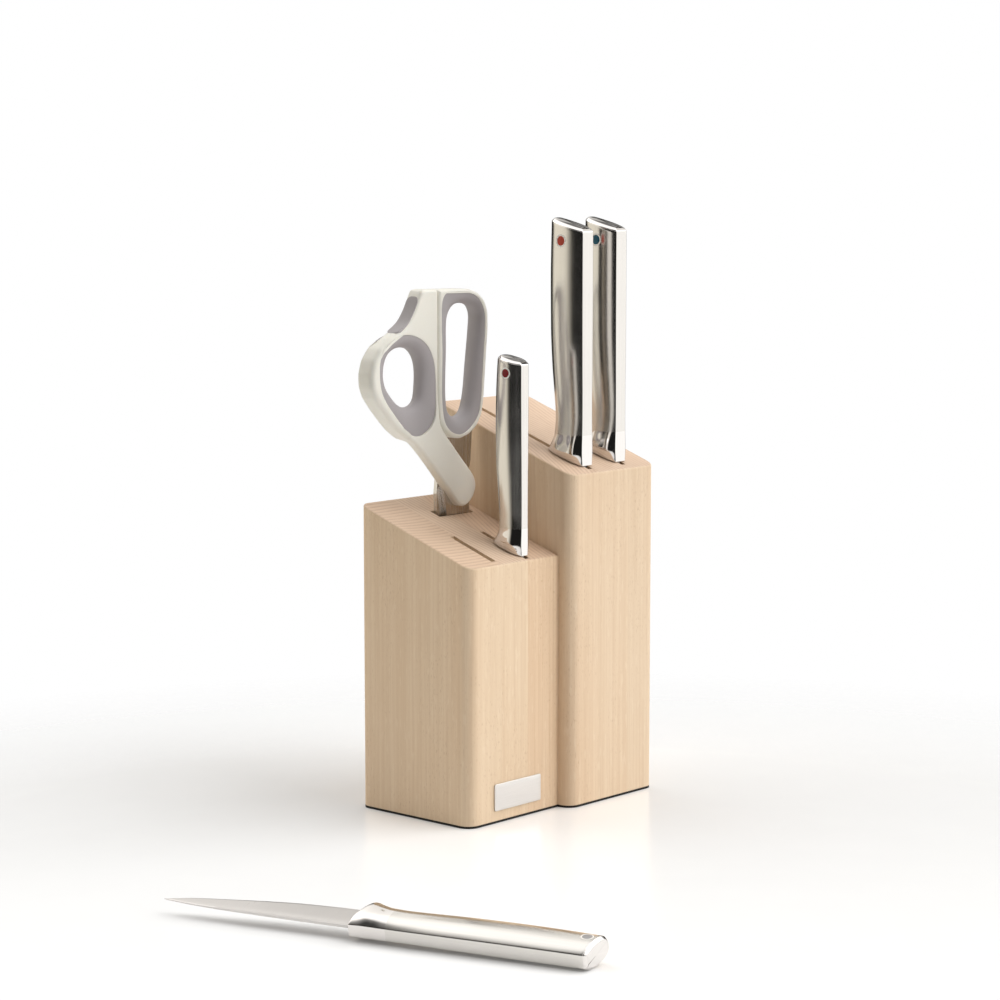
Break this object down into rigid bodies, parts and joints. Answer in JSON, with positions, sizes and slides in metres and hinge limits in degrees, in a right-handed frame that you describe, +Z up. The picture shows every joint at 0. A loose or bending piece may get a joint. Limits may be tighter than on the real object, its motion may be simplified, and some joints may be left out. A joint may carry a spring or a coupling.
{
  "type": "knife block with knives",
  "caption": "Stepped beech knife block of two joined blocks with slanted tops, steel-handled knives, scissors in a slot and one knife lying in front.",
  "frame": {"origin": "on the underside of the base pad, at the joint between the lower and the tall block, half way through their depth", "axes": "+X to the right along the front, +Y to the back, +Z up"},
  "size_m": [0.3528, 0.2954, 0.3152],
  "materials": {
    "beech": "oiled pale beech",
    "pad_rubber": "matt black anti-slip pad",
    "plate_steel": "satin",
    "blade_steel": "satin ground",
    "polished_steel": "mirror polished stainless steel",
    "brushed_steel": "lengthways brushed stainless steel",
    "scissor_steel": "ground stainless steel",
    "cream_plastic": "satin cream plastic",
    "grey_grip": "soft-touch grey",
    "dot_orange": "gloss",
    "dot_teal": "gloss",
    "dot_red": "gloss",
    "dot_grey": "gloss"
  },
  "bodies": {
    "block": {"lower_board_left": "beech", "lower_board_middle": "beech", "lower_board_right": "beech", "tall_board_left": "beech", "tall_board_middle": "beech", "tall_board_right": "beech", "joining_dowels": "beech", "base_pad": "pad_rubber", "name_plate": "plate_steel"},
    "chef_knife": {"chef_blade": "blade_steel", "chef_bolster": "polished_steel", "chef_handle": "brushed_steel", "chef_end_cap": "polished_steel", "chef_dot_ring": "polished_steel", "chef_dot": "dot_orange"},
    "santoku_knife": {"santoku_blade": "blade_steel", "santoku_bolster": "polished_steel", "santoku_handle": "brushed_steel", "santoku_end_cap": "polished_steel", "santoku_dot_ring": "polished_steel", "santoku_dot": "dot_teal"},
    "paring_knife": {"paring_blade": "blade_steel", "paring_bolster": "polished_steel", "paring_handle": "brushed_steel", "paring_end_cap": "polished_steel", "paring_dot_ring": "polished_steel", "paring_dot": "dot_red"},
    "utility_knife": {"utility_blade": "blade_steel", "utility_bolster": "polished_steel", "utility_handle": "brushed_steel", "utility_end_cap": "polished_steel", "utility_dot_ring": "polished_steel", "utility_dot": "dot_grey"},
    "scissors_finger_half": {"finger_half_shell": "cream_plastic", "finger_liner": "grey_grip", "finger_half_blade": "scissor_steel", "pivot_screw": "scissor_steel", "pivot_nut": "scissor_steel"},
    "scissors_thumb_half": {"thumb_half_shell": "cream_plastic", "thumb_liner": "grey_grip", "thumb_notch_pad": "grey_grip", "thumb_half_blade": "scissor_steel"}
  },
  "joints": [
    {"name": "chef_knife_lift", "type": "slide", "parent": "block", "child": "chef_knife", "axis": [0, 0, 1], "range_m": [0, 0.2]},
    {"name": "santoku_knife_lift", "type": "slide", "parent": "block", "child": "santoku_knife", "axis": [0, 0, 1], "range_m": [0, 0.18]},
    {"name": "paring_knife_lift", "type": "slide", "parent": "block", "child": "paring_knife", "axis": [0, 0, 1], "range_m": [0, 0.12]},
    {"name": "scissors_lift", "type": "slide", "parent": "block", "child": "scissors_finger_half", "axis": [0, 0, 1], "range_m": [0, 0.12]},
    {"name": "utility_knife_lift", "type": "slide", "parent": "block", "child": "utility_knife", "axis": [0, 0, 1], "range_m": [0, 0.1]},
    {"name": "scissors_pivot", "type": "hinge", "parent": "scissors_finger_half", "child": "scissors_thumb_half", "pos_m": [-0.0205, 0.019, 0.174], "axis": [0, -1, 0], "range_deg": [0, 4.5]}
  ]
}
